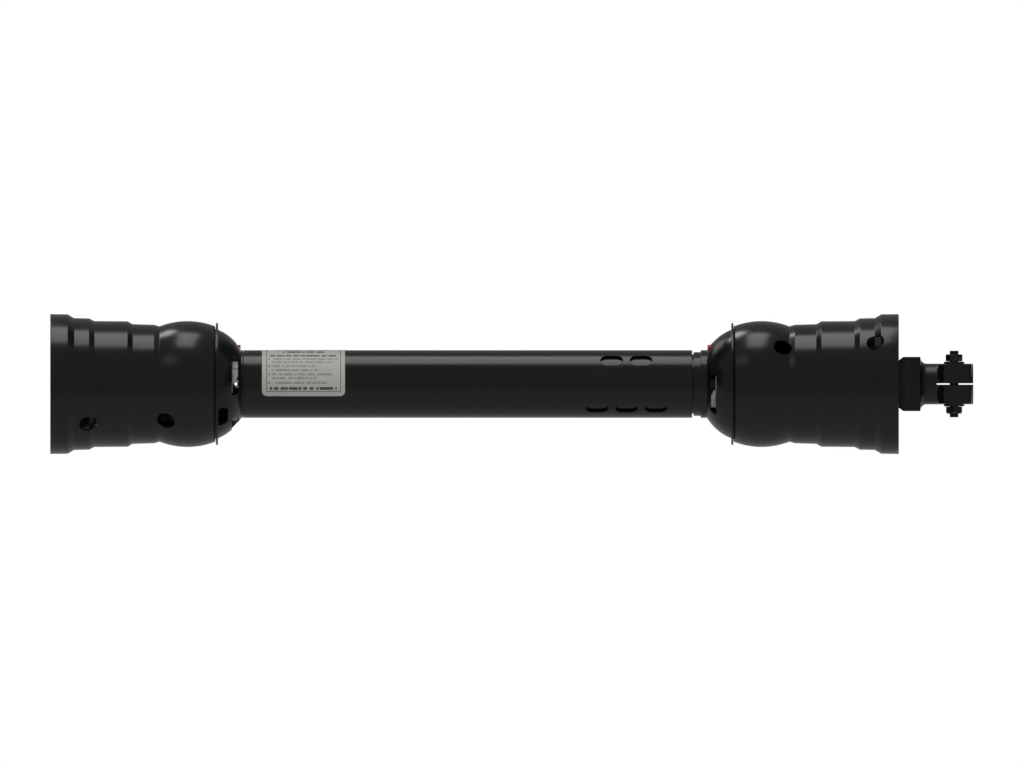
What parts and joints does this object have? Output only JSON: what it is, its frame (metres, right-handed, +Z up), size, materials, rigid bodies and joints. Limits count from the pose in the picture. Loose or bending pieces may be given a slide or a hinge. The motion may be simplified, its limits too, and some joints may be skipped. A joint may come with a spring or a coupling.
{
  "type": "pto drive shaft",
  "caption": "Telescopic farm drive shaft with universal joints inside stepped black guard bells, a plastic guard tube, a collar-locked yoke and a clamp yoke for splined stubs.",
  "frame": {"origin": "on the shaft's axis, halfway between the end faces of the closed shaft", "axes": "+X along the shaft from the tractor end to the implement end, +Z up, as the shaft lies on its bell rims"},
  "size_m": [1.2, 0.182, 0.182],
  "materials": {
    "guard_plastic": "black moulded polyethylene, semi-gloss",
    "bearing_nylon": "light grey moulded nylon",
    "button_plastic": "red moulded plastic",
    "yoke_paint": "black paint on forged steel",
    "tube_steel": "drawn steel, lightly oiled",
    "bright_steel": "ground steel",
    "ring_steel": "spring and turned steel, satin",
    "bolt_steel": "black oxide steel",
    "nipple_brass": "plated brass"
  },
  "bodies": {
    "tractor_guard": {"tractor_bell": "guard_plastic", "tractor_base_cone": "guard_plastic", "tractor_guard_bearing": "bearing_nylon", "outer_guard_tube": "guard_plastic"},
    "tractor_lock_button": {"tractor_lock_button": "button_plastic"},
    "tractor_shaft": {"tractor_tube_yoke": "yoke_paint", "outer_profile_tube": "tube_steel", "tractor_spring_pin": "bright_steel", "tractor_lower_cup": "bright_steel", "tractor_upper_cup": "bright_steel", "tractor_lower_snap_ring": "ring_steel", "tractor_upper_snap_ring": "ring_steel"},
    "tractor_cross": {"tractor_cross": "bright_steel", "tractor_grease_nipple": "nipple_brass"},
    "tractor_yoke": {"tractor_yoke": "yoke_paint", "tractor_front_cup": "bright_steel", "tractor_back_cup": "bright_steel", "tractor_front_snap_ring": "ring_steel", "tractor_back_snap_ring": "ring_steel", "lock_ball_1": "bright_steel", "lock_ball_2": "bright_steel", "lock_ball_3": "bright_steel", "collar_spring": "ring_steel", "collar_stop_washer": "ring_steel", "collar_stop_ring": "ring_steel"},
    "lock_collar": {"lock_collar": "ring_steel"},
    "implement_shaft": {"implement_tube_yoke": "yoke_paint", "inner_profile_tube": "tube_steel", "implement_spring_pin": "bright_steel", "implement_lower_cup": "bright_steel", "implement_upper_cup": "bright_steel", "implement_lower_snap_ring": "ring_steel", "implement_upper_snap_ring": "ring_steel"},
    "implement_cross": {"implement_cross": "bright_steel", "implement_grease_nipple": "nipple_brass"},
    "implement_yoke": {"implement_yoke": "yoke_paint", "implement_front_cup": "bright_steel", "implement_back_cup": "bright_steel", "implement_front_snap_ring": "ring_steel", "implement_back_snap_ring": "ring_steel", "front_clamp_bolt": "bolt_steel", "back_clamp_bolt": "bolt_steel", "front_clamp_nut": "bolt_steel", "back_clamp_nut": "bolt_steel"},
    "implement_guard": {"implement_bell": "guard_plastic", "implement_base_cone": "guard_plastic", "implement_guard_bearing": "bearing_nylon", "inner_guard_tube": "guard_plastic"},
    "implement_lock_button": {"implement_lock_button": "button_plastic"}
  },
  "joints": [
    {"name": "tractor_guard_bearing_spin", "type": "hinge", "parent": "tractor_guard", "child": "tractor_shaft", "pos_m": [-0.37, 0, 0], "axis": [1, 0, 0], "continuous": true},
    {"name": "telescope_slide", "type": "slide", "parent": "tractor_shaft", "child": "implement_shaft", "axis": [1, 0, 0], "range_m": [0, 0.36]},
    {"name": "implement_guard_bearing_spin", "type": "hinge", "parent": "implement_shaft", "child": "implement_guard", "pos_m": [0.27, 0, 0], "axis": [1, 0, 0], "continuous": true},
    {"name": "tractor_inner_yoke_hinge", "type": "hinge", "parent": "tractor_shaft", "child": "tractor_cross", "pos_m": [-0.484, 0, 0], "axis": [0, 0, 1], "range_deg": [-20, 20]},
    {"name": "tractor_outer_yoke_hinge", "type": "hinge", "parent": "tractor_cross", "child": "tractor_yoke", "pos_m": [-0.484, 0, 0], "axis": [0, 1, 0], "range_deg": [-20, 20]},
    {"name": "lock_collar_slide", "type": "slide", "parent": "tractor_yoke", "child": "lock_collar", "axis": [1, 0, 0], "range_m": [0, 0.009], "stiffness_N_per_m": 2500, "springref_m": -0.004, "deforming": ["collar_spring"]},
    {"name": "implement_inner_yoke_hinge", "type": "hinge", "parent": "implement_shaft", "child": "implement_cross", "pos_m": [0.466, 0, 0], "axis": [0, 0, 1], "range_deg": [-30, 30]},
    {"name": "implement_outer_yoke_hinge", "type": "hinge", "parent": "implement_cross", "child": "implement_yoke", "pos_m": [0.466, 0, 0], "axis": [0, 1, 0], "range_deg": [-30, 30]},
    {"name": "tractor_lock_button_press", "type": "slide", "parent": "tractor_guard", "child": "tractor_lock_button", "axis": [0, 0.1822, 0.9833], "range_m": [-0.0025, 0], "stiffness_N_per_m": 2000},
    {"name": "implement_lock_button_press", "type": "slide", "parent": "implement_guard", "child": "implement_lock_button", "axis": [0, -0.1822, 0.9833], "range_m": [-0.0025, 0], "stiffness_N_per_m": 2000}
  ]
}
